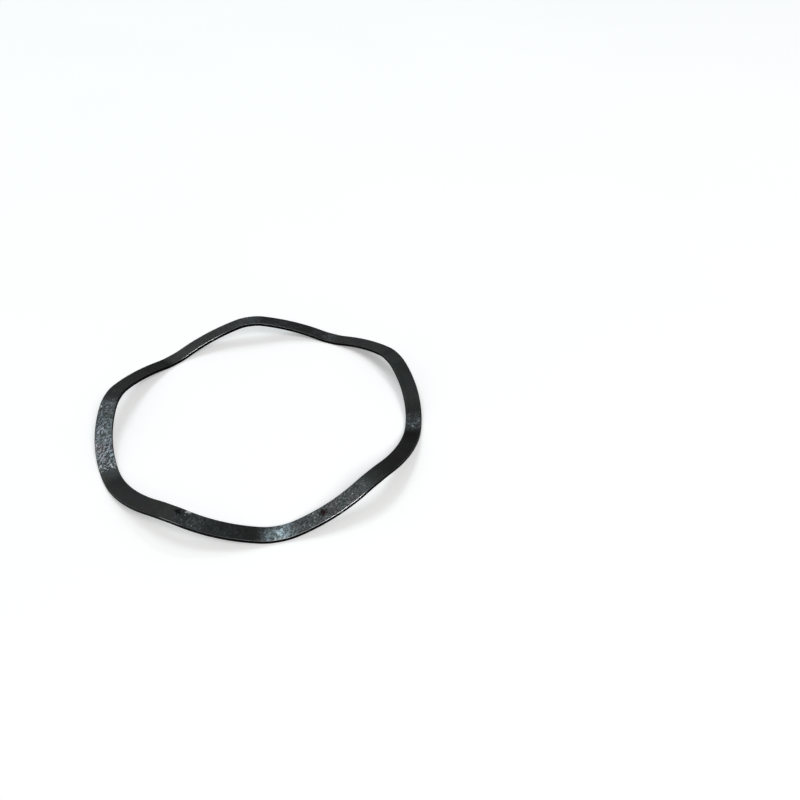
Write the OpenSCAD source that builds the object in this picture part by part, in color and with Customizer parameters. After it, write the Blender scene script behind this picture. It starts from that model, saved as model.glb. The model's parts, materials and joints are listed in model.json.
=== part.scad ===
// Wave spring washer: one ring of spring strip, pressed into even waves, that preloads a bearing.
// The ring's axis is Z. It stands on its trough lands at Z = 0, and one crest lies on +Y.

/* [Ring] */
// Outside diameter, loose in a 110 mm housing bore
outer_d = 109; // [60:0.5:160]
// Width of the strip from its outer rim to its inner rim, which sets the hole for the shaft
strip_w = 5.5; // [2:0.5:16]
// Thickness of the strip, square to its surface
sheet_t = 1.2; // [0.3:0.1:2]
// Edge break along the rims of the blanked strip
edge_break = 0.16; // [0.02:0.02:0.2]

/* [Waves] */
// Waves round the ring
waves = 5; // [3:1:8]
// Height of the unloaded ring, from its trough lands to its crest lands
free_h = 7.6; // [3:0.2:14]
// Bend radius at every crest and trough, to the middle of the strip
bend_r = 20; // [6:1:36]
// Length round the ring of the flat land on every crest and trough
land_l = 1.2; // [0.4:0.2:8]

/* [Fineness] */
// Facets between a crest land and the next trough land
ramp_facets = 24; // [8:2:48]
// Facets of each round wall
wall_facets = 360; // [90:30:720]

/* [Hidden] */

outer_r = outer_d / 2;
inner_r = outer_r - strip_w;
mid_r = (outer_r + inner_r) / 2;

// The wave is laid out along the circle of radius mid_r. Half a wave is one land and one run.
half_wave_l = PI * mid_r / waves;
run_l = half_wave_l - land_l;
rise = free_h - sheet_t;

// Two equal arcs and the straight ramp tangent to both span the run. A tighter run limits the bend.
crest_r = min(bend_r, (run_l * run_l + rise * rise) / (4 * rise));
ramp_reach = sqrt(run_l * run_l + pow(2 * crest_r - rise, 2));
ramp_a = asin(min(1, 2 * crest_r / ramp_reach)) - atan2(2 * crest_r - rise, run_l);
arc_l = crest_r * sin(ramp_a);
arc_drop = crest_r * (1 - cos(ramp_a));

// The strip is swept a little past both walls, with its rims bevelled, and is then cut to the true diameters.
bevel = min(edge_break, sheet_t / 5);
over = bevel / 2;
strip_r = [inner_r - over, inner_r + bevel, outer_r - bevel, outer_r + over];
strip_half_t = sheet_t / 2 * [1, 1, 1, 1] - (bevel + over) * [1, 0, 0, 1];

// A half wave has one station at each end of its run and at each facet line between.
half_stations = ramp_facets + 1;
stations = 2 * waves * half_stations;
section_points = 2 * len(strip_r);

// Angle of the first crest from +X.
first_crest_a = 90;

spring_black = [0.17, 0.18, 0.18];

// How far the middle of the strip has dropped at distance x down the run from a crest land.
function arc_fall(x) = crest_r - sqrt(crest_r * crest_r - x * x);
function fall(x) =
    x < arc_l ? arc_fall(x)
    : x > run_l - arc_l ? rise - arc_fall(run_l - x)
    : arc_drop + (x - arc_l) * tan(ramp_a);

// Slope of the strip there, as an angle.
function slope_a(x) =
    x < arc_l ? asin(x / crest_r)
    : x > run_l - arc_l ? asin((run_l - x) / crest_r)
    : ramp_a;

// Place of a station: the half wave it belongs to, its distance down that half wave's run, and its angle.
function half_of(i) = floor(i / half_stations);
function run_at(i) = (i % half_stations) * run_l / ramp_facets;
function angle_at(i) = first_crest_a + (half_of(i) * half_wave_l + land_l / 2 + run_at(i)) / mid_r * 180 / PI;

// Even half waves go down from a crest, odd ones go up from a trough.
function mid_z(i) =
    half_of(i) % 2 == 0 ? free_h - sheet_t / 2 - fall(run_at(i)) : sheet_t / 2 + fall(run_at(i));

// Section of the strip at a station: along the top outwards, then back along the underside.
function section(i) =
    let (a = angle_at(i), z = mid_z(i), lean = cos(slope_a(run_at(i))), n = len(strip_r))
    [for (k = [0:section_points - 1])
        let (top = k < n, j = top ? k : section_points - 1 - k, h = strip_half_t[j] / lean)
        [strip_r[j] * cos(a), strip_r[j] * sin(a), top ? z + h : z - h]];

// Two triangles between each pair of neighbouring section points and the next station.
function skin() =
    [for (i = [0:stations - 1], k = [0:section_points - 1])
        let (
            near = i * section_points,
            far = (i + 1) % stations * section_points,
            m = (k + 1) % section_points
        )
        each [[near + k, far + k, far + m], [near + k, far + m, near + m]]];

module waved_strip() {
    polyhedron(points = [for (i = [0:stations - 1]) each section(i)], faces = skin());
}

module round_bar(r, past) {
    translate([0, 0, -past])
        cylinder(h = free_h + 2 * past, r = r, $fn = wall_facets);
}

// Tube of the true diameters, taller than the waves.
module ring_blank() {
    difference() {
        round_bar(outer_r, sheet_t);
        round_bar(inner_r, 2 * sheet_t);
    }
}

module wave_spring_washer() {
    color(spring_black)
        intersection() {
            waved_strip();
            ring_blank();
        }
}

wave_spring_washer();
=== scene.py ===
"""Wave spring washer: the looks of the ring and its stage, laid out as an add-on and run as a script."""

import json
import math
from typing import NamedTuple

import bpy
import numpy as np
from bpy.props import FloatProperty, FloatVectorProperty, IntProperty, PointerProperty
from bpy.types import Operator, Panel, PropertyGroup
from mathutils import Matrix, Vector


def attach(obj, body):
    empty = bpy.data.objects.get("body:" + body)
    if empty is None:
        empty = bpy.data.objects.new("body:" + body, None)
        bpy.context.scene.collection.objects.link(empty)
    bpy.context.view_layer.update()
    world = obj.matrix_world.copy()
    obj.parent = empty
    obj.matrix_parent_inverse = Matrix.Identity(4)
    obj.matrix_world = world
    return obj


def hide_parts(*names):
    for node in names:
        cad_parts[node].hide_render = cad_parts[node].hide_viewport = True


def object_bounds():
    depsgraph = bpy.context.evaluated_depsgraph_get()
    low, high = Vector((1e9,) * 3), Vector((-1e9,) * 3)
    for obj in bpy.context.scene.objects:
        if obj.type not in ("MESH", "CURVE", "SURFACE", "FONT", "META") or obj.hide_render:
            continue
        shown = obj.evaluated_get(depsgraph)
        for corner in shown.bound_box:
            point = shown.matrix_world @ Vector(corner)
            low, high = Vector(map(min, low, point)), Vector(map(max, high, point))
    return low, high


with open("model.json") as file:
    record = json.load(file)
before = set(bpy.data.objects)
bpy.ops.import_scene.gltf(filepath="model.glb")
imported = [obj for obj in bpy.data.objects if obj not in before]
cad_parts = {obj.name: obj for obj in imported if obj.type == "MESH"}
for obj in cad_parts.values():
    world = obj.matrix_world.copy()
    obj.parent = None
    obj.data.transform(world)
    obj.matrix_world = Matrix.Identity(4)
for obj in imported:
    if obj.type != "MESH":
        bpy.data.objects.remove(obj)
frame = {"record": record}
CAD_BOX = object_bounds()

bl_info = {
    "name": "Wave Spring Washer",
    "version": (1, 0, 0),
    "blender": (4, 5, 0),
    "location": "View3D > Sidebar > Washer",
    "description": "Forms a blackened wave spring washer and lays it on a pale studio floor",
    "category": "Object",
}

MM = 0.001
NODE = "wave_spring_washer"
BODY = "root"
SLOT = "blackened_spring_steel"
RING = "waved_ring"
MOUNTS = {mount["name"]: mount for mount in frame["record"]["mounts"]}


class WasherForm(PropertyGroup):
    """Sizes of the ring, the same as the solid's."""

    outer_radius: FloatProperty(
        name="Outer radius", description="From the axis to the outer rim", unit="LENGTH",
        default=MOUNTS["housing_guide"]["dims"]["r_mm"] * MM)
    inner_radius: FloatProperty(
        name="Inner radius", description="From the axis to the inner rim", unit="LENGTH",
        default=MOUNTS["shaft_hole"]["dims"]["r_mm"] * MM)
    free_height: FloatProperty(
        name="Free height", description="From the trough lands to the crest lands", unit="LENGTH",
        default=CAD_BOX[1].z - CAD_BOX[0].z)
    thickness: FloatProperty(
        name="Thickness", description="Thickness of the strip, square to its surface", unit="LENGTH",
        default=1.2 * MM)
    waves: IntProperty(
        name="Waves", description="Waves round the ring", default=5, min=3)
    bend_radius: FloatProperty(
        name="Bend radius", description="Bend at every crest and trough, to the middle of the strip",
        unit="LENGTH", default=20 * MM)
    land_length: FloatProperty(
        name="Land length", description="Flat on every crest and trough, along the ring", unit="LENGTH",
        default=1.2 * MM)
    edge_break: FloatProperty(
        name="Edge break", description="Width of the broken edge along each rim", unit="LENGTH",
        default=0.16 * MM)
    first_crest: FloatProperty(
        name="First crest", description="Angle of the first crest from +X", subtype="ANGLE",
        default=math.radians(90))


class WasherFinish(PropertyGroup):
    """Colours and depths of the blackened finish. Each colour is what the face mirrors straight back."""

    oxide: FloatVectorProperty(
        name="Oxide", description="Black oxide skin", subtype="COLOR", size=3,
        default=(0.0454, 0.0458, 0.0452))
    oxide_blue: FloatVectorProperty(
        name="Blue oxide", description="Blue-green heat tint in patches", subtype="COLOR", size=3,
        default=(0.0425, 0.0470, 0.0500))
    oxide_brown: FloatVectorProperty(
        name="Brown oxide", description="Purple-brown heat tint in patches", subtype="COLOR", size=3,
        default=(0.0490, 0.0455, 0.0455))
    oxide_olive: FloatVectorProperty(
        name="Olive oxide", description="Olive heat tint in small patches", subtype="COLOR", size=3,
        default=(0.0448, 0.0462, 0.0424))
    # Grey skins of the streaks: partly wear, and partly painted light, as the streaks lie mostly on the
    # slopes that catch the lamps
    rubbed_and_lit: FloatVectorProperty(
        name="Rubbed skin", description="Thin grey skin in the rubbed streaks", subtype="COLOR", size=3,
        default=(0.298, 0.322, 0.366))
    rubbed_and_lit_brown: FloatVectorProperty(
        name="Rubbed brown skin", description="Rubbed skin where the heat tint is brown", subtype="COLOR",
        size=3, default=(0.326, 0.307, 0.337))
    rubbed_and_lit_green: FloatVectorProperty(
        name="Rubbed green skin", description="Rubbed skin where the heat tint is olive", subtype="COLOR",
        size=3, default=(0.284, 0.327, 0.364))
    # Painted glint: pale blue-green colour of the glint stretch in the trough
    painted_glint_colour: FloatVectorProperty(
        name="Polished skin", description="Blue-green skin where it is rubbed smooth", subtype="COLOR",
        size=3, default=(0.388, 0.470, 0.512))
    # Bright steel, brighter than bare steel is, so that on the rims' bright stretches and the glint flecks it
    # paints highlights; in the nicks and scuffs it is bare steel
    steel: FloatVectorProperty(
        name="Bare steel", description="Steel where the skin is rubbed through", subtype="COLOR", size=3,
        default=(0.80, 0.82, 0.83))
    rust: FloatVectorProperty(
        name="Rust", description="Dark rust in the small spot", subtype="COLOR", size=3,
        default=(0.015, 0.0078, 0.0074))
    # Near-black: soot in the dark marks, and painted shade on the sheared walls and on the stretches of
    # painted shade
    soot_and_shade: FloatVectorProperty(
        name="Soot", description="Dull dark skin on the sheared walls and in the dark marks",
        subtype="COLOR", size=3, default=(0.003, 0.003, 0.003))
    roughness: FloatProperty(
        name="Roughness", description="Roughness of the skin", subtype="FACTOR", default=0.35)
    fleck_roughness: FloatProperty(
        name="Fleck roughness", description="Roughness of the pale flecks", subtype="FACTOR",
        default=0.55)
    wall_roughness: FloatProperty(
        name="Sheared roughness", description="Roughness of the sheared walls", subtype="FACTOR",
        default=0.65)
    edge_shine: FloatProperty(
        name="Edge shine", description="Share of the mirror's gain at a low angle that the skin keeps",
        subtype="FACTOR", default=0.75)
    grain_depth: FloatProperty(
        name="Grain depth", description="Height of the fine grain", unit="LENGTH", default=0.08 * MM)
    grain_turn: FloatProperty(
        name="Grain direction", description="Way the sheet was rolled, from +X", subtype="ANGLE",
        default=math.radians(52))


class WasherStage(PropertyGroup):
    """Camera of the photograph's view, floor and room light."""

    view_distance: FloatProperty(
        name="View distance", description="Camera to the middle of the ring", unit="LENGTH",
        default=245.2 * MM)
    view_elevation: FloatProperty(
        name="View elevation", description="Camera above the ring's plane", subtype="ANGLE",
        default=math.radians(40.05))
    view_azimuth: FloatProperty(
        name="View azimuth", description="Camera turned round the axis from -Y", subtype="ANGLE",
        default=math.radians(1.28))
    view_roll: FloatProperty(
        name="View roll", description="Camera turned about its line of sight", subtype="ANGLE",
        default=math.radians(9.35))
    focal_pixels: FloatProperty(
        name="Focal length", description="In pixels of the square photograph", default=704.15)
    centre_pixel: FloatVectorProperty(
        name="Centre", description="Pixel at which the middle of the ring lies", size=2,
        default=(262.28, 411.57))
    floor_colour: FloatVectorProperty(
        name="Floor", description="Pale floor", subtype="COLOR", size=3, default=(0.92, 0.92, 0.92))
    floor_glow: FloatProperty(
        name="Floor glow", description="White added to the floor as seen, which lights nothing else",
        default=0.3)
    room_left: FloatProperty(
        name="Room light, left", description="Level of the soft room light from -X", default=0.42)
    room_right: FloatProperty(
        name="Room light, right", description="Level of the soft room light from +X", default=0.20)


# Fineness of the ring's surface: stations round the axis, and steps across each face and each sheared wall
STATIONS = 1500
FACE_STEPS = 12
WALL_STEPS = 4

# Distance of a row of points from the corner beside it, as a share of the edge break
CREASE = 0.1

# The ring's map for baking, and the bare border of each of its bands
BAKE_MAP = "OFBake"
MAP_MARGIN = 0.004

# Values at the ring's points that the finish reads
RIM = "rim"
WALL = "wall"
# Of these, the worn streaks are partly painted light, the glint stretch is painted light, and the darker
# stretches are painted shade
WEAR_AND_LIGHT_ATTRIBUTE = "wear_and_light"
PAINTED_GLINT_ATTRIBUTE = "painted_glint"
PAINTED_SHADE_ATTRIBUTE = "painted_shade"
SCUFF = "scuff"


class Stretch(NamedTuple):
    """A stretch of the ring: its middle, half length and fade in degrees, and its strength from 0 to 1."""

    middle: float
    half: float
    fade: float
    strength: float


# Stretches where the skin turns grey in streaks: partly wear, and partly painted light, as they lie mostly on
# the slopes that catch the lamps and make those slopes read lit
RUBBED_AND_LIT = (
    Stretch(78, 22, 8, 0.15),
    Stretch(170.5, 4.2, 4.3, 0.22),
    Stretch(179, 3, 6, 0.56),
    Stretch(185.2, 6.2, 4.6, 0.63),
    Stretch(244, 3, 4, 0.14),
    Stretch(250, 10, 4, 0.06),
    Stretch(270, 3, 4, 0.4),
    Stretch(281.5, 11.5, 6, 0.15),
    Stretch(343.5, 2.5, 3.5, 0.32),
)

# Stretch of painted glint in the trough at 270 degrees: pale blue-green skin that brightens the small window
# lamp's reflection there
PAINTED_GLINT_STRETCHES = (
    Stretch(269.8, 1.2, 6.5, 0.43),
)

# Stretches of painted shade, where the skin is darkened towards the near-black colour so that these slopes
# and crests read darker
PAINTED_SHADE_STRETCHES = (
    Stretch(110, 12, 6, 0.15),
    Stretch(135, 4, 4, 0.6),
    Stretch(146, 10, 4, 0.48),
    Stretch(169, 7, 4, 0.42),
    Stretch(184, 10, 6, 0.25),
    Stretch(236, 4, 4, 0.45),
    Stretch(254, 7, 5, 0.33),
    Stretch(291, 14, 5, 0.33),
    Stretch(322, 8, 6, 0.1),
    Stretch(342, 8, 6, 0.3),
)

# Stretches that are scuffed through to the steel
SCUFFED = (
    Stretch(194.6, 0.6, 1.6, 0.38),
    Stretch(281, 4, 3, 0.06),
    Stretch(296, 5, 4, 0.07),
)

# Stretches of the two upper rims that are bright steel, partly worn edge and partly painted highlight where
# the rims catch the lamps, and how bright the rims are elsewhere
BRIGHT_OUTER_RIM = (
    Stretch(237, 2, 3, 0.85),
    Stretch(270, 1.5, 1.5, 0.7),
    Stretch(285, 13, 4, 0.5),
    Stretch(288.5, 2.5, 3, 0.95),
    Stretch(294, 2.5, 3, 1.0),
)
BRIGHT_INNER_RIM = (
    Stretch(112, 9, 5, 0.85),
    Stretch(181, 14, 4, 0.4),
    Stretch(240.6, 0.6, 0.8, 0.9),
)
DULL_RIM = 0.15


def station_angles():
    """Even steps once round the axis, from +X."""
    return np.arange(STATIONS) * (2 * math.pi / STATIONS)


def strip_middle(theta, form):
    """Height of the strip's middle and the cosine of its slope, at angles theta round the ring.

    Along the circle at mid width, a half wave is half a land, a run, and half a land. The run is an arc of
    the bend radius, a straight ramp tangent to it, and the same arc turned over. The ramp's angle a satisfies
    run * sin(a) + (2 * bend - rise) * cos(a) = 2 * bend.
    """
    mid_radius = (form.outer_radius + form.inner_radius) / 2
    half_wave = math.pi * mid_radius / form.waves
    run = half_wave - form.land_length
    rise = form.free_height - form.thickness
    bend = min(form.bend_radius, (run**2 + rise**2) / (4 * rise))
    over = 2 * bend - rise
    ramp = math.asin(min(1.0, 2 * bend / math.hypot(run, over))) - math.atan2(over, run)
    arc = bend * math.sin(ramp)
    wave_turn = 2 * math.pi / form.waves
    along = np.mod(theta - form.first_crest, wave_turn) * mid_radius
    from_crest = np.minimum(along, 2 * half_wave - along)
    x = np.clip(from_crest - form.land_length / 2, 0, run)
    near_end = np.minimum(x, run - x)
    bent = np.minimum(near_end, arc)
    fallen = bend - np.sqrt(bend**2 - bent**2) + (near_end - bent) * math.tan(ramp)
    drop = np.where(x <= run / 2, fallen, rise - fallen)
    slope = np.arcsin(bent / bend)
    return form.free_height - form.thickness / 2 - drop, np.cos(slope)


class Section(NamedTuple):
    """Points of the strip's section in a closed loop, one array for each value.

    across and through are a point's place from the middle of the strip. rim and wall are 1 on an upper rim
    and on a sheared wall, and 0 elsewhere.
    """

    across: np.ndarray
    through: np.ndarray
    rim: np.ndarray
    wall: np.ndarray


def creased_line(end, crease, steps):
    """Places along a line from -end to end: its ends, and even steps between points a crease inside them."""
    return np.concatenate([[-end], np.linspace(-1, 1, steps + 1) * (end - crease), [end]])


def strip_section(form):
    """The strip's section, outwards along its top and back along its underside.

    It is a rectangle of the strip's width and thickness whose corners are cut at 45 degrees by the edge
    break. A point a crease from each corner, on either side, keeps the smooth shading flat up to it. The rim
    is the upper half of the two upper cuts, and the wall is the rest of the cuts and the sheared sides.
    """
    half_width = (form.outer_radius - form.inner_radius) / 2
    half_thick = form.thickness / 2
    edge = form.edge_break
    face_end = half_width - edge
    face = creased_line(face_end, CREASE * edge, FACE_STEPS)
    side_wall = creased_line(half_thick - edge, CREASE * edge, WALL_STEPS)
    cut = np.array([CREASE, 0.5 - CREASE / 2, 0.5 + CREASE / 2, 1 - CREASE])

    def points(across, through, rim, wall):
        return np.stack(np.broadcast_arrays(across, through, rim, wall))

    def corner(side, top):
        down = cut if side * top > 0 else cut[::-1]
        rim = np.where((down < 0.5) & (top > 0), 1.0, 0.0)
        return points(side * (face_end + edge * down), top * (half_thick - edge * down), rim, 1.0 - rim)

    return Section(*np.concatenate([
        points(face, half_thick, 0.0, 0.0),
        corner(1, 1),
        points(half_width, side_wall[::-1], 0.0, 1.0),
        corner(1, -1),
        points(face[::-1], -half_thick, 0.0, 0.0),
        corner(-1, -1),
        points(-half_width, side_wall, 0.0, 1.0),
        corner(-1, 1),
    ], axis=1))


def ring_surface(form, section):
    """Points of the ring, on a grid of stations round the axis by points of the section.

    A section point stands at its own radius, and at the middle's height plus its depth over the slope's
    cosine, so the strip keeps its thickness square to its surface.
    """
    theta = station_angles()
    middle, lean = strip_middle(theta, form)
    radius = (form.outer_radius + form.inner_radius) / 2 + section.across
    x = np.cos(theta)[:, None] * radius
    y = np.sin(theta)[:, None] * radius
    z = middle[:, None] + section.through / lean[:, None]
    return np.stack([x, y, z], axis=-1)


def closed_grid_quads(rows, columns):
    """Corner numbers of the quads of a grid that closes on itself both ways, row by row."""
    i, k = np.meshgrid(np.arange(rows), np.arange(columns), indexing="ij")
    i_next = (i + 1) % rows
    k_next = (k + 1) % columns
    corners = [i * columns + k, i * columns + k_next, i_next * columns + k_next, i_next * columns + k]
    return np.stack(corners, axis=-1).reshape(-1, 4)


def strip_map(section, waves):
    """Map places of the quads' corners: each wave is one level band of a square, one above another.

    Across the square runs the way round one wave, and up each band runs the way round the section.
    """
    across_step = np.diff(section.across, append=section.across[0])
    through_step = np.diff(section.through, append=section.through[0])
    girth = np.hypot(across_step, through_step)
    around = np.concatenate([[0.0], np.cumsum(girth)]) / girth.sum()
    i, k = np.meshgrid(np.arange(STATIONS), np.arange(len(girth)), indexing="ij")
    per_wave = math.ceil(STATIONS / waves)
    band = (i // per_wave)[..., None]
    inside = 1 - 2 * MAP_MARGIN
    along = np.stack([i, i, i + 1, i + 1], axis=-1) / per_wave - band
    up = np.stack([around[k], around[k + 1], around[k + 1], around[k]], axis=-1)
    places = [MAP_MARGIN + inside * along, (band + MAP_MARGIN + inside * up) / waves]
    return np.stack(places, axis=-1).reshape(-1, 2)


def mesh_from_grid(name, grid, uv):
    """A smooth mesh of quads from a closed grid of points, with its bake map."""
    rows, columns = grid.shape[:2]
    quads = closed_grid_quads(rows, columns)
    mesh = bpy.data.meshes.new(name)
    mesh.vertices.add(rows * columns)
    mesh.vertices.foreach_set("co", grid.astype(np.float32).ravel())
    mesh.loops.add(quads.size)
    mesh.loops.foreach_set("vertex_index", quads.astype(np.int32).ravel())
    mesh.polygons.add(len(quads))
    mesh.polygons.foreach_set("loop_start", np.arange(0, quads.size, 4, dtype=np.int32))
    mesh.polygons.foreach_set("use_smooth", np.ones(len(quads), dtype=bool))
    mesh.update(calc_edges=True)
    mesh.uv_layers.new(name=BAKE_MAP).uv.foreach_set("vector", uv.astype(np.float32).ravel())
    if mesh.validate():
        raise RuntimeError(f"the mesh of {name} had faults")
    return mesh


def stretch_strength(stretches):
    """How strong a finish is at each station: the strongest of its stretches there.

    Over its fade, a stretch grows as x * x * (3 - 2 * x) times its strength, with x from 0 to 1.
    """
    degrees = np.degrees(station_angles())
    strongest = np.zeros(STATIONS)
    for middle, half, fade, strength in stretches:
        away = np.abs(np.mod(degrees - middle + 180, 360) - 180)
        x = np.clip((half + fade - away) / fade, 0, 1)
        strongest = np.maximum(strongest, strength * x * x * (3 - 2 * x))
    return strongest


def rim_values(section):
    """How bright the rim is at each point: dim all round, and brighter on the listed stretches of its side, a
    painted highlight in part where the rims catch the lamps.
    """
    outer = np.maximum(stretch_strength(BRIGHT_OUTER_RIM), DULL_RIM)
    inner = np.maximum(stretch_strength(BRIGHT_INNER_RIM), DULL_RIM)
    return np.where(section.across > 0, outer[:, None], inner[:, None]) * section.rim


def set_point_values(mesh, name, values):
    """Stores one number for each point of the mesh."""
    attribute = mesh.attributes.new(name, "FLOAT", "POINT")
    attribute.data.foreach_set("value", values.astype(np.float32).ravel())


# Sockets of a Mix node that is set to colours
MIX_COLOUR_A = 6
MIX_COLOUR_B = 7
MIX_COLOUR_RESULT = 2


class Sheet:
    """A node sheet of a material or a world, with short calls that add a node and link its inputs."""

    def __init__(self, owner):
        owner.use_nodes = True
        self.tree = owner.node_tree
        self.tree.nodes.clear()

    def add(self, kind, inputs=None, **settings):
        """A new node with its settings. Each of its inputs gets a link from a socket, or a plain value."""
        node = self.tree.nodes.new(kind)
        for key, value in settings.items():
            setattr(node, key, value)
        for key, value in (inputs or {}).items():
            if isinstance(value, bpy.types.NodeSocket):
                self.tree.links.new(value, node.inputs[key])
            else:
                node.inputs[key].default_value = value
        return node

    def attribute(self, name):
        """A value that is stored at the points."""
        return self.add("ShaderNodeAttribute", attribute_name=name).outputs["Fac"]

    def math(self, operation, *values):
        """A sum, product or other operation on numbers."""
        return self.add("ShaderNodeMath", dict(enumerate(values)), operation=operation).outputs[0]

    def average(self, share, a, b):
        """The stated share of one number, and the rest of another."""
        return self.math("ADD", self.math("MULTIPLY", a, share), self.math("MULTIPLY", b, 1 - share))

    def ramp(self, value, low, high, to_low=0.0, to_high=1.0):
        """A smooth step from one value to another, while a number goes from low to high."""
        node = self.add("ShaderNodeMapRange", {
            "Value": value, "From Min": low, "From Max": high, "To Min": to_low, "To Max": to_high},
            interpolation_type="SMOOTHSTEP")
        return node.outputs["Result"]

    def mix(self, share, a, b):
        """From one number to another by a share."""
        return self.add("ShaderNodeMix", {"Factor": share, "A": a, "B": b}).outputs[0]

    def blend(self, share, a, b):
        """From one colour to another by a share."""
        node = self.add("ShaderNodeMix", data_type="RGBA", inputs={
            "Factor": share, MIX_COLOUR_A: a, MIX_COLOUR_B: b})
        return node.outputs[MIX_COLOUR_RESULT]

    def noise(self, place, cells, detail=2.0, roughness=0.5):
        """Cloudy noise about 0.5, with the stated number of cells for each unit of the place."""
        node = self.add("ShaderNodeTexNoise", {
            "Vector": place, "Scale": cells, "Detail": detail, "Roughness": roughness})
        return node.outputs["Fac"]

    def stretched(self, place, turn, lengths):
        """The place in a frame turned about the axis, measured in the stated lengths along its three axes."""
        node = self.add("ShaderNodeMapping", {
            "Vector": place, "Rotation": (0.0, 0.0, turn), "Scale": lengths}, vector_type="TEXTURE")
        return node.outputs["Vector"]

    def ragged(self, place, cells, reach):
        """The place moved by noise, up to half the reach each way, which tears the edges of spots."""
        noise = self.add("ShaderNodeTexNoise", {"Vector": place, "Scale": cells, "Detail": 1.0})
        swirl = self.add("ShaderNodeVectorMath", operation="SUBTRACT", inputs={
            0: noise.outputs["Color"], 1: (0.5, 0.5, 0.5)})
        moved = self.add("ShaderNodeVectorMath", operation="MULTIPLY_ADD", inputs={
            0: swirl.outputs["Vector"], 1: (reach, reach, reach), 2: place})
        return moved.outputs["Vector"]

    def spot(self, place, centre, core, edge):
        """1 within the core's radius of a point, falling to 0 over the edge's width."""
        away = self.add("ShaderNodeVectorMath", {0: place, 1: centre}, operation="DISTANCE")
        return self.ramp(away.outputs["Value"], core, core + edge, 1.0, 0.0)


WHITE = (1.0, 1.0, 1.0, 1.0)


def rgba(colour):
    """A colour with full opacity, as a node's socket takes it."""
    return (*colour, 1.0)


# Noise of the finish: size of the rolled strokes, and cells for each metre of the others
STROKE_SIZE = (1.3 * MM, 0.34 * MM, 0.5 * MM)
MOTTLE_CELLS = 2100.0
BLOT_CELLS = 1150.0
OLIVE_CELLS = 330.0
PATCH_CELLS = 260.0
TINT_CELLS = 110.0

# Finer levels of the blots, and the share of its height that each finer level of blots and mottle keeps
BLOT_DETAIL = 3.0
FINER_SHARE = 0.6

# Levels of the noise between which a tint or a mark sets in
BROWN_LEVELS = (0.50, 0.66)
BLUE_LEVELS = (0.50, 0.36)
OLIVE_LEVELS = (0.42, 0.58)
STREAK_LEVELS = (0.46, 0.60)
SHINE_LEVELS = (0.45, 0.60)
NICK_LEVELS = (0.64, 0.72)
SCUFF_LEVELS = (0.54, 0.64)
RUST_LEVELS = (0.36, 0.52)

# Levels of the patches between which a value changes, and what it changes from and to
WEAR_AND_LIGHT_BY_PATCH = (0.34, 0.66, 0.6, 1.4)
RIM_BY_PATCH = (0.36, 0.56, 0.8, 1.0)
ROUGHNESS_BY_PATCH = (0.3, 0.7, -0.02, 0.08)

# Share of strokes in the streaks and of blots in the polish, and height of the mottle beside the strokes
STROKE_SHARE = 0.6
BLOT_SHARE = 0.7
MOTTLE_HEIGHT = 0.7

# How strong the nicks are all over, and how much stronger on the worn and lit stretches, which partly paints
# sparkle onto the lit slopes
NICKS_ALL_OVER = 0.035
NICKS_BY_WEAR_AND_LIGHT = 0.31

# How strong the flecks and the dark marks are
FLECK_STRENGTH = 0.5
SMUDGE_STRENGTH = 0.92
RUST_RING_STRENGTH = 0.75

# How spots are torn: cells of the noise for each metre, and its reach
STAIN_TEAR = (900.0, 3.0 * MM)
DARK_TEAR = (2000.0, 2.6 * MM)
FLECK_TEAR = (2500.0, 0.7 * MM)


class Spot(NamedTuple):
    """A spot on the upper face: its angle in degrees, and its distance from the axis, core and edge in mm."""

    angle: float
    distance: float
    core: float
    edge: float


BROWN_STAIN = Spot(186.0, 53.4, 1.2, 2.4)
# Core of the painted glint in the trough
PAINTED_GLINT_SPOT = Spot(271.0, 51.8, 0.5, 2.5)
SMUDGE = Spot(237.6, 50.5, 0.6, 0.7)
RUST_RING = Spot(285.4, 51.1, 0.9, 0.8)
RUST_SPOT = RUST_RING._replace(core=0.8, edge=0.6)


class Fleck(NamedTuple):
    """A pale fleck on the upper face: its angle in degrees, and its distance from the axis and size in mm."""

    angle: float
    distance: float
    size: float


FLECKS = (
    Fleck(167.8, 53.8, 0.40),
    Fleck(182.8, 51.0, 0.35),
    Fleck(193.0, 53.7, 0.50),
    Fleck(193.8, 50.7, 0.40),
    Fleck(240.0, 49.8, 0.40),
    Fleck(240.0, 52.7, 0.18),
    Fleck(240.3, 50.8, 0.20),
    Fleck(240.5, 49.3, 0.80),
    Fleck(241.1, 49.4, 0.60),
    Fleck(243.8, 51.3, 0.12),
    Fleck(243.8, 53.4, 0.18),
    Fleck(246.5, 53.4, 0.14),
    # Painted glint: these flecks stand in for the brightest core of the trough's glint and its sparks on the
    # outer rim
    Fleck(268.8, 53.9, 0.40),
    Fleck(269.9, 51.8, 0.60),
    Fleck(270.2, 53.9, 0.45),
    Fleck(271.6, 54.0, 0.40),
    Fleck(278.3, 52.3, 0.20),
    Fleck(282.3, 49.8, 0.20),
    Fleck(296.3, 51.8, 0.20),
    Fleck(341.8, 51.5, 0.45),
)

# Share of a fleck's size that is its core, the rest being its edge
FLECK_CORE = 0.4


def spot_on_top(sheet, place, spot, form):
    """1 on the core of a spot on the strip's upper face, falling to 0 over its edge."""
    angle = math.radians(spot.angle)
    distance = spot.distance * MM
    middle, lean = strip_middle(np.array([angle]), form)
    height = float(middle[0] + form.thickness / 2 / lean[0])
    centre = (distance * math.cos(angle), distance * math.sin(angle), height)
    return sheet.spot(place, centre, spot.core * MM, spot.edge * MM)


class FinishNoise(NamedTuple):
    """Sockets that the layers of the finish share: a place on the ring, and the noise there."""

    place: bpy.types.NodeSocket
    strokes: bpy.types.NodeSocket
    mottle: bpy.types.NodeSocket
    patch: bpy.types.NodeSocket
    brown: bpy.types.NodeSocket
    blue: bpy.types.NodeSocket
    olive: bpy.types.NodeSocket


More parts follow.
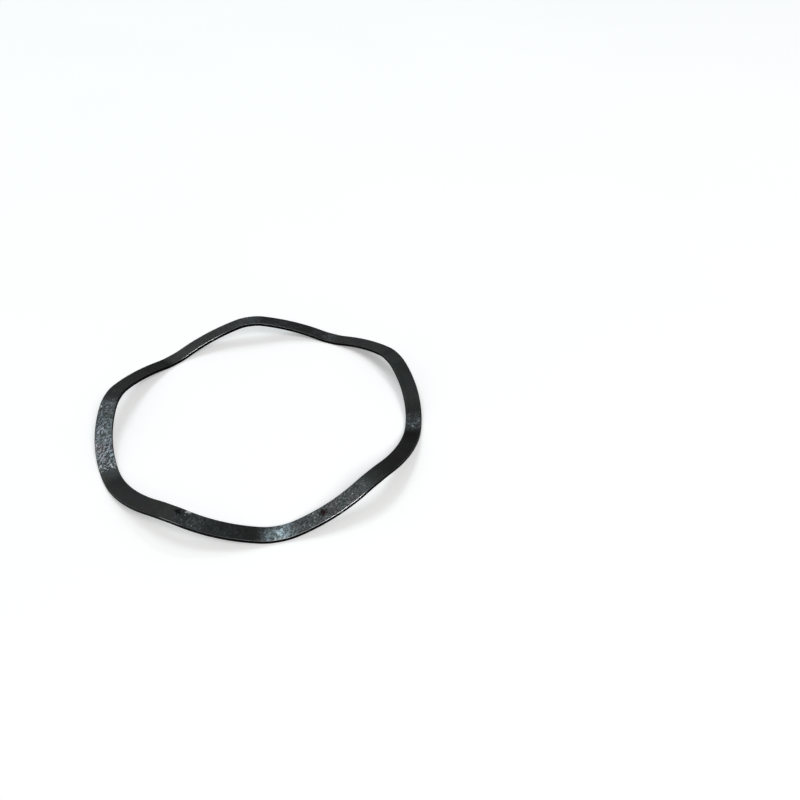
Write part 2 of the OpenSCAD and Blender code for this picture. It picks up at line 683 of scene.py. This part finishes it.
def finish_noise(sheet, finish):
    """Strokes along the rolled grain, fine mottle, broad patches, and the heat tints."""
    place = sheet.add("ShaderNodeTexCoord").outputs["Object"]
    along_grain = sheet.stretched(place, finish.grain_turn, STROKE_SIZE)
    tint = sheet.noise(place, TINT_CELLS)
    return FinishNoise(
        place=place,
        strokes=sheet.noise(along_grain, 1.0),
        mottle=sheet.noise(place, MOTTLE_CELLS, roughness=FINER_SHARE),
        patch=sheet.noise(place, PATCH_CELLS),
        brown=sheet.ramp(tint, *BROWN_LEVELS),
        blue=sheet.ramp(tint, *BLUE_LEVELS),
        olive=sheet.ramp(sheet.noise(place, OLIVE_CELLS), *OLIVE_LEVELS))


def oxide_skin(sheet, noise, finish):
    """Black oxide with brown, blue and olive heat tints, and painted shade: darker towards the near-black
    colour on the stretches of painted shade.
    """
    skin = sheet.blend(noise.brown, rgba(finish.oxide), rgba(finish.oxide_brown))
    skin = sheet.blend(noise.blue, skin, rgba(finish.oxide_blue))
    skin = sheet.blend(noise.olive, skin, rgba(finish.oxide_olive))
    return sheet.blend(sheet.attribute(PAINTED_SHADE_ATTRIBUTE), skin, rgba(finish.soot_and_shade))


def rubbed_and_lit_streaks(sheet, noise, colour, finish, form):
    """The colour with streaks of thin grey skin, tinted as the oxide is, and a stain. The streaks are partly
    wear and partly painted light, laid mostly on the slopes that catch the lamps.
    """
    grey = sheet.blend(noise.brown, rgba(finish.rubbed_and_lit), rgba(finish.rubbed_and_lit_brown))
    grey = sheet.blend(noise.olive, grey, rgba(finish.rubbed_and_lit_green))
    stain = spot_on_top(sheet, sheet.ragged(noise.place, *STAIN_TEAR), BROWN_STAIN, form)
    grey = sheet.blend(stain, grey, rgba(finish.rubbed_and_lit_brown))
    streaks = sheet.ramp(sheet.average(STROKE_SHARE, noise.strokes, noise.mottle), *STREAK_LEVELS)
    wear_and_light = sheet.math("MULTIPLY", sheet.attribute(WEAR_AND_LIGHT_ATTRIBUTE), sheet.ramp(noise.patch, *WEAR_AND_LIGHT_BY_PATCH))
    return sheet.blend(sheet.math("MULTIPLY", wear_and_light, streaks), colour, grey)


def painted_glint_blots(sheet, noise, colour, finish, form):
    """The colour with blots of painted glint: pale blue-green skin on the glint stretch, most of all round
    its core.
    """
    blots = sheet.noise(noise.place, BLOT_CELLS, BLOT_DETAIL, FINER_SHARE)
    shine = sheet.ramp(sheet.average(BLOT_SHARE, blots, noise.patch), *SHINE_LEVELS)
    spot = spot_on_top(sheet, noise.place, PAINTED_GLINT_SPOT, form)
    painted_glint = sheet.math("MAXIMUM", sheet.attribute(PAINTED_GLINT_ATTRIBUTE), spot)
    return sheet.blend(sheet.math("MULTIPLY", painted_glint, shine), colour, rgba(finish.painted_glint_colour))


def bare_steel_and_rim_highlight(sheet, noise, colour, finish):
    """The colour with steel in fine nicks, in the scuffs and along the rims; on the rims' bright stretches it
    is partly a painted highlight.
    """
    nicked = sheet.math("MULTIPLY_ADD", sheet.attribute(WEAR_AND_LIGHT_ATTRIBUTE), NICKS_BY_WEAR_AND_LIGHT, NICKS_ALL_OVER)
    nicks = sheet.math("MULTIPLY", sheet.ramp(noise.mottle, *NICK_LEVELS), nicked)
    scuffs = sheet.math("MULTIPLY", sheet.ramp(noise.mottle, *SCUFF_LEVELS), sheet.attribute(SCUFF))
    rim = sheet.math("MULTIPLY", sheet.attribute(RIM), sheet.ramp(noise.patch, *RIM_BY_PATCH))
    bare = sheet.math("MAXIMUM", rim, sheet.math("MAXIMUM", nicks, scuffs))
    return sheet.blend(bare, colour, rgba(finish.steel))


def pale_flecks(sheet, noise, form):
    """1 on the core of each torn fleck, falling to 0 over its edge."""
    torn = sheet.ragged(noise.place, *FLECK_TEAR)
    flecks = 0.0
    for angle, distance, size in FLECKS:
        spot = Spot(angle, distance, FLECK_CORE * size, (1 - FLECK_CORE) * size)
        flecks = sheet.math("MAXIMUM", spot_on_top(sheet, torn, spot, form), flecks)
    return flecks


def dark_marks(sheet, noise, colour, finish, form):
    """The colour with a sooty smudge, and a rust spot in a sooty ring."""
    torn = sheet.ragged(noise.place, *DARK_TEAR)
    smudge = sheet.math("MULTIPLY", spot_on_top(sheet, torn, SMUDGE, form), SMUDGE_STRENGTH)
    colour = sheet.blend(smudge, colour, rgba(finish.soot_and_shade))
    ring = sheet.math("MULTIPLY", spot_on_top(sheet, torn, RUST_RING, form), RUST_RING_STRENGTH)
    colour = sheet.blend(ring, colour, rgba(finish.soot_and_shade))
    crust = sheet.ramp(noise.mottle, *RUST_LEVELS)
    rust = sheet.math("MULTIPLY", spot_on_top(sheet, torn, RUST_SPOT, form), crust)
    return sheet.blend(rust, colour, rgba(finish.rust))


def skin_roughness(sheet, noise, flecks, wall, finish):
    """Roughness that changes a little from patch to patch, with rougher flecks and sheared walls."""
    low, high, smoother, rougher = ROUGHNESS_BY_PATCH
    rough = sheet.ramp(noise.patch, low, high, finish.roughness + smoother, finish.roughness + rougher)
    rough = sheet.mix(flecks, rough, finish.fleck_roughness)
    return sheet.mix(wall, rough, finish.wall_roughness)


def blackened_steel(form, finish):
    """Blackened, oiled spring steel: a dark skin with rolled grain, heat tints, worn places and marks, and
    painted light: grey streaks partly painted on the lit slopes, a painted glint, painted highlights on the
    rims, and painted shade on the walls and darker stretches.
    """
    material = bpy.data.materials.new(SLOT)
    sheet = Sheet(material)
    noise = finish_noise(sheet, finish)
    colour = oxide_skin(sheet, noise, finish)
    colour = rubbed_and_lit_streaks(sheet, noise, colour, finish, form)
    colour = painted_glint_blots(sheet, noise, colour, finish, form)
    colour = bare_steel_and_rim_highlight(sheet, noise, colour, finish)
    # Pale flecks; the ones from 268.8 to 271.6 degrees are a painted glint, the core of the trough's glint
    # and its sparks on the outer rim
    flecks = pale_flecks(sheet, noise, form)
    colour = sheet.blend(sheet.math("MULTIPLY", flecks, FLECK_STRENGTH), colour, rgba(finish.steel))
    colour = dark_marks(sheet, noise, colour, finish, form)
    # Painted shade: the sheared walls and lower cuts get the near-black colour, darker than the oxide
    wall = sheet.attribute(WALL)
    colour = sheet.blend(wall, colour, rgba(finish.soot_and_shade))
    height = sheet.math("ADD", noise.strokes, sheet.math("MULTIPLY", noise.mottle, MOTTLE_HEIGHT))
    bump = sheet.add("ShaderNodeBump", {"Height": height, "Distance": finish.grain_depth, "Strength": 1.0})
    shader = sheet.add("ShaderNodeBsdfPrincipled", {
        "Base Color": colour,
        "Metallic": 1.0,
        "Roughness": skin_roughness(sheet, noise, flecks, wall, finish),
        "Normal": bump.outputs["Normal"],
        "Specular Tint": rgba((finish.edge_shine,) * 3)})
    sheet.add("ShaderNodeOutputMaterial", {"Surface": shader.outputs["BSDF"]})
    return material


class WASHER_OT_form_ring(Operator):
    """Form the waved ring and give it its blackened finish"""

    bl_idname = "washer.form_ring"
    bl_label = "Form Ring"

    def execute(self, context):
        form = context.scene.washer_form
        section = strip_section(form)
        mesh = mesh_from_grid(RING, ring_surface(form, section), strip_map(section, form.waves))
        set_point_values(mesh, RIM, rim_values(section))
        set_point_values(mesh, WALL, np.tile(section.wall, STATIONS))
        # Strength at the points of the worn and lit streaks, the painted glint, the painted shade and the
        # scuffs
        for name, stretches in ((WEAR_AND_LIGHT_ATTRIBUTE, RUBBED_AND_LIT), (PAINTED_GLINT_ATTRIBUTE, PAINTED_GLINT_STRETCHES), (PAINTED_SHADE_ATTRIBUTE, PAINTED_SHADE_STRETCHES), (SCUFF, SCUFFED)):
            set_point_values(mesh, name, np.repeat(stretch_strength(stretches), len(section.across)))
        mesh.materials.append(blackened_steel(form, context.scene.washer_finish))
        ring = bpy.data.objects.new(RING, mesh)
        context.scene.collection.objects.link(ring)
        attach(ring, BODY)
        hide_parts(NODE)
        return {"FINISHED"}


# Floor: its side in metres, and the cells for each metre, levels and depth of its faint unevenness of tone
FLOOR_SIDE = 12.0
FLOOR_CELLS = 6.0
FLOOR_LEVELS = (0.3, 0.7)
FLOOR_DIM = 0.985
FLOOR_ROUGHNESS = 0.9

# Sideways part of a direction, left and right of the middle, between which the room light changes
ROOM_SPREAD = 0.6

# The square photograph's side in pixels, and the camera's sensor in mm and clipping in metres
PHOTO_SIDE = 800
SENSOR_WIDTH = 36.0
CLIP_START = 0.01
CLIP_END = 50.0


class Lamp(NamedTuple):
    """A rectangular lamp that faces the origin.

    It hangs at an azimuth from +Y towards +X and at an elevation above the floor, both in degrees. Its width
    and length are in metres, and the radiance is that of its face.
    """

    name: str
    azimuth: float
    elevation: float
    width: float
    length: float
    radiance: float
    colour: tuple


LAMPS = (
    Lamp("window", -29, 59, 1.05, 0.95, 5.5, (0.88, 0.97, 1.0)),
    Lamp("window_core", 2, 49, 0.34, 0.22, 24.0, (0.80, 0.96, 1.0)),
    Lamp("front", 153, 45, 0.95, 1.20, 10.0, (1.0, 0.99, 0.98)),
)
LAMP_DISTANCE = 3.0


def pale_floor(stage):
    """Plain pale floor with faintly uneven tone, and a little white added to what eye and mirror see."""
    material = bpy.data.materials.new("pale_floor")
    sheet = Sheet(material)
    place = sheet.add("ShaderNodeTexCoord").outputs["Object"]
    tone = sheet.ramp(sheet.noise(place, FLOOR_CELLS), *FLOOR_LEVELS)
    dim = tuple(FLOOR_DIM * channel for channel in stage.floor_colour)
    path = sheet.add("ShaderNodeLightPath").outputs
    seen = sheet.math("MAXIMUM", path["Is Camera Ray"], path["Is Glossy Ray"])
    seen = sheet.math("MAXIMUM", seen, path["Is Transmission Ray"])
    shader = sheet.add("ShaderNodeBsdfPrincipled", {
        "Base Color": sheet.blend(tone, rgba(dim), rgba(stage.floor_colour)),
        "Roughness": FLOOR_ROUGHNESS,
        "Specular IOR Level": 0.0,
        "Emission Color": WHITE,
        "Emission Strength": sheet.math("MULTIPLY", seen, stage.floor_glow)})
    sheet.add("ShaderNodeOutputMaterial", {"Surface": shader.outputs["BSDF"]})
    return material


def lay_floor(scene, stage):
    """A level square at Z = 0."""
    half = FLOOR_SIDE / 2
    corners = [(-half, -half, 0), (half, -half, 0), (half, half, 0), (-half, half, 0)]
    mesh = bpy.data.meshes.new("floor")
    mesh.from_pydata(corners, [], [(0, 1, 2, 3)])
    mesh.materials.append(pale_floor(stage))
    floor = bpy.data.objects.new("floor", mesh)
    scene.collection.objects.link(floor)


def studio_room(stage):
    """Soft room light that changes smoothly from its level on the left to its level on the right."""
    world = bpy.data.worlds.new("studio")
    sheet = Sheet(world)
    direction = sheet.add("ShaderNodeTexCoord").outputs["Generated"]
    across = sheet.add("ShaderNodeSeparateXYZ", {"Vector": direction}).outputs["X"]
    level = sheet.ramp(across, -ROOM_SPREAD, ROOM_SPREAD, stage.room_left, stage.room_right)
    background = sheet.add("ShaderNodeBackground", {"Color": WHITE, "Strength": level})
    sheet.add("ShaderNodeOutputWorld", {"Surface": background.outputs["Background"]})
    return world


def hang_lamp(scene, lamp):
    """Hangs a lamp with the power that gives its face the stated radiance: pi times radiance times area."""
    light = bpy.data.lights.new(lamp.name, "AREA")
    light.shape = "RECTANGLE"
    light.size = lamp.width
    light.size_y = lamp.length
    light.color = lamp.colour
    light.energy = lamp.radiance * math.pi * lamp.width * lamp.length
    azimuth = math.radians(lamp.azimuth)
    elevation = math.radians(lamp.elevation)
    level = math.cos(elevation)
    direction = Vector((math.sin(azimuth) * level, math.cos(azimuth) * level, math.sin(elevation)))
    holder = bpy.data.objects.new(lamp.name, light)
    holder.location = direction * LAMP_DISTANCE
    holder.rotation_euler = direction.to_track_quat("Z", "Y").to_euler()
    scene.collection.objects.link(holder)


def photo_camera(stage, middle):
    """Location and turn of the camera that sees the ring's middle at its pixel, from the stated side.

    The view basis looks at the middle from the distance, elevation and azimuth, is rolled about that line,
    and is then panned so that the line passes through the pixel.
    """
    elevation, azimuth, roll = stage.view_elevation, stage.view_azimuth, stage.view_roll
    level = math.cos(elevation)
    away = Vector((-math.sin(azimuth) * level, math.cos(azimuth) * level, -math.sin(elevation)))
    right = Vector((math.cos(azimuth), math.sin(azimuth), 0.0))
    up = right.cross(away)
    rolled_right = right * math.cos(roll) - up * math.sin(roll)
    rolled_up = right * math.sin(roll) + up * math.cos(roll)
    offset = [(pixel - PHOTO_SIDE / 2) / stage.focal_pixels for pixel in stage.centre_pixel]
    ray = Vector((offset[0], -offset[1], 1.0)).normalized()
    pan_x = Vector((0.0, 1.0, 0.0)).cross(ray).normalized()
    pan_y = ray.cross(pan_x)
    view = Matrix((rolled_right, rolled_up, away))
    pan = Matrix((pan_x, pan_y, ray)).transposed()
    seen = pan @ view
    turn = Matrix((seen[0], seen[1], -seen[2])).transposed()
    return middle - away * stage.view_distance, turn


def set_camera(scene, stage, middle):
    """The camera of the photograph's view, with the photograph's focal length on its own sensor."""
    camera = bpy.data.cameras.new("photo_view")
    camera.sensor_width = SENSOR_WIDTH
    camera.lens = stage.focal_pixels / PHOTO_SIDE * SENSOR_WIDTH
    camera.clip_start = CLIP_START
    camera.clip_end = CLIP_END
    holder = bpy.data.objects.new("photo_view", camera)
    location, turn = photo_camera(stage, middle)
    holder.matrix_world = Matrix.Translation(location) @ turn.to_4x4()
    scene.collection.objects.link(holder)
    scene.camera = holder


class WASHER_OT_set_stage(Operator):
    """Lay the floor, hang the lamps and set the camera of the photograph's view"""

    bl_idname = "washer.set_stage"
    bl_label = "Set Stage"

    def execute(self, context):
        scene = context.scene
        stage = scene.washer_stage
        lay_floor(scene, stage)
        scene.world = studio_room(stage)
        for lamp in LAMPS:
            hang_lamp(scene, lamp)
        set_camera(scene, stage, Vector((0.0, 0.0, scene.washer_form.free_height / 2)))
        scene.view_settings.view_transform = "Standard"
        return {"FINISHED"}


class WASHER_PT_panel(Panel):
    """Sizes, finish and stage of the washer"""

    bl_idname = "WASHER_PT_panel"
    bl_label = "Wave Spring Washer"
    bl_space_type = "VIEW_3D"
    bl_region_type = "UI"
    bl_category = "Washer"

    def draw(self, context):
        scene = context.scene
        for group in (scene.washer_form, scene.washer_finish, scene.washer_stage):
            box = self.layout.box()
            for name in group.__annotations__:
                box.prop(group, name)
        self.layout.operator(WASHER_OT_form_ring.bl_idname)
        self.layout.operator(WASHER_OT_set_stage.bl_idname)


CLASSES = (
    WasherForm,
    WasherFinish,
    WasherStage,
    WASHER_OT_form_ring,
    WASHER_OT_set_stage,
    WASHER_PT_panel,
)


def register():
    """Registers the classes, and gives each scene its three groups of properties."""
    for cls in CLASSES:
        bpy.utils.register_class(cls)
    bpy.types.Scene.washer_form = PointerProperty(type=WasherForm)
    bpy.types.Scene.washer_finish = PointerProperty(type=WasherFinish)
    bpy.types.Scene.washer_stage = PointerProperty(type=WasherStage)


def unregister():
    """Takes back what register gave, in the other order."""
    del bpy.types.Scene.washer_stage
    del bpy.types.Scene.washer_finish
    del bpy.types.Scene.washer_form
    for cls in reversed(CLASSES):
        bpy.utils.unregister_class(cls)


def main():
    """Forms the ring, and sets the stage."""
    register()
    bpy.ops.washer.form_ring()
    bpy.ops.washer.set_stage()


if __name__ == "__main__":
    main()
